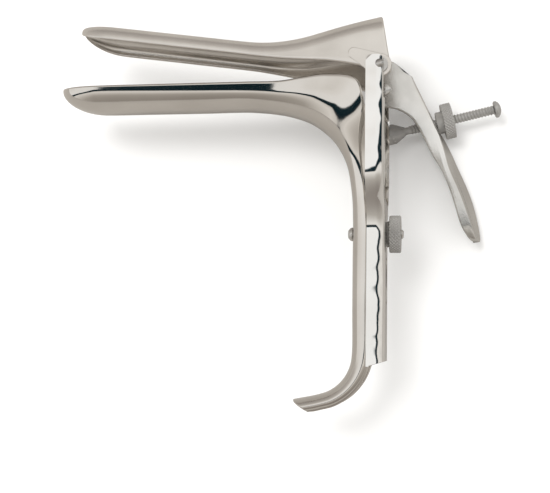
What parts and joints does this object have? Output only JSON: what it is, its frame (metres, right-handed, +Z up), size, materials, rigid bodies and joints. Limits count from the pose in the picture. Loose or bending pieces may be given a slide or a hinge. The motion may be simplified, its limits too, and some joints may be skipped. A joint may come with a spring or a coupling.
{
  "type": "bivalve speculum",
  "caption": "Stainless steel speculum with two trough blades, a hooked handle, a sliding frame, a thumb lever and a rod with a nut that holds the blades open.",
  "frame": {"origin": "bottom centre of the box round the whole instrument, as it lies on its side with the thumb lever down", "axes": "+X from the blade tips back to the adjusting rod, +Y up the handle towards the blades, +Z up, away from the side with the thumb lever"},
  "size_m": [0.1759, 0.1538, 0.055],
  "materials": {
    "blade_steel": "satin",
    "frame_steel": "satin",
    "screw_steel": "satin",
    "knurl_steel": "knurled"
  },
  "bodies": {
    "lower_valve": {"lower_blade": "blade_steel", "lock_bolt": "screw_steel"},
    "slide_frame": {"frame": "frame_steel", "near_pivot_screw": "screw_steel", "far_pivot_screw": "screw_steel", "near_pivot_washer": "screw_steel", "far_pivot_washer": "screw_steel", "rod_pivot_rivet": "screw_steel"},
    "upper_valve": {"upper_blade": "blade_steel", "thumb_lever": "frame_steel"},
    "rod": {"adjusting_rod": "knurl_steel", "rod_stop": "knurl_steel"},
    "nut_on_rod": {"tilt_nut": "knurl_steel"},
    "nut_on_bolt": {"lock_nut": "knurl_steel"}
  },
  "joints": [
    {"name": "frame_slide", "type": "slide", "parent": "lower_valve", "child": "slide_frame", "axis": [0, 1, 0], "range_m": [0, 0.0248]},
    {"name": "blade_tilt", "type": "hinge", "parent": "slide_frame", "child": "upper_valve", "pos_m": [0.04135, 0.05299, 0.03229], "axis": [0, 0, -1], "range_deg": [-9, 18]},
    {"name": "rod_swing", "type": "hinge", "parent": "slide_frame", "child": "rod", "pos_m": [0.03955, 0.03499, 0.00864], "axis": [0, 0, -1], "range_deg": [-8.5, 15]},
    {"name": "nut_travel", "type": "slide", "parent": "rod", "child": "nut_on_rod", "axis": [0.9744, 0.225, 0], "range_m": [-0.006, 0.006]},
    {"name": "lock_nut_spin", "type": "hinge", "parent": "lower_valve", "child": "nut_on_bolt", "pos_m": [0.04535, -0.00791, 0.03229], "axis": [1, 0, 0], "continuous": true}
  ],
  "couplings": [
    {"joint": "rod_swing", "follows": "blade_tilt", "ratio": 0.75},
    {"joint": "nut_travel", "follows": "blade_tilt", "m_per_rad": -0.0173}
  ]
}
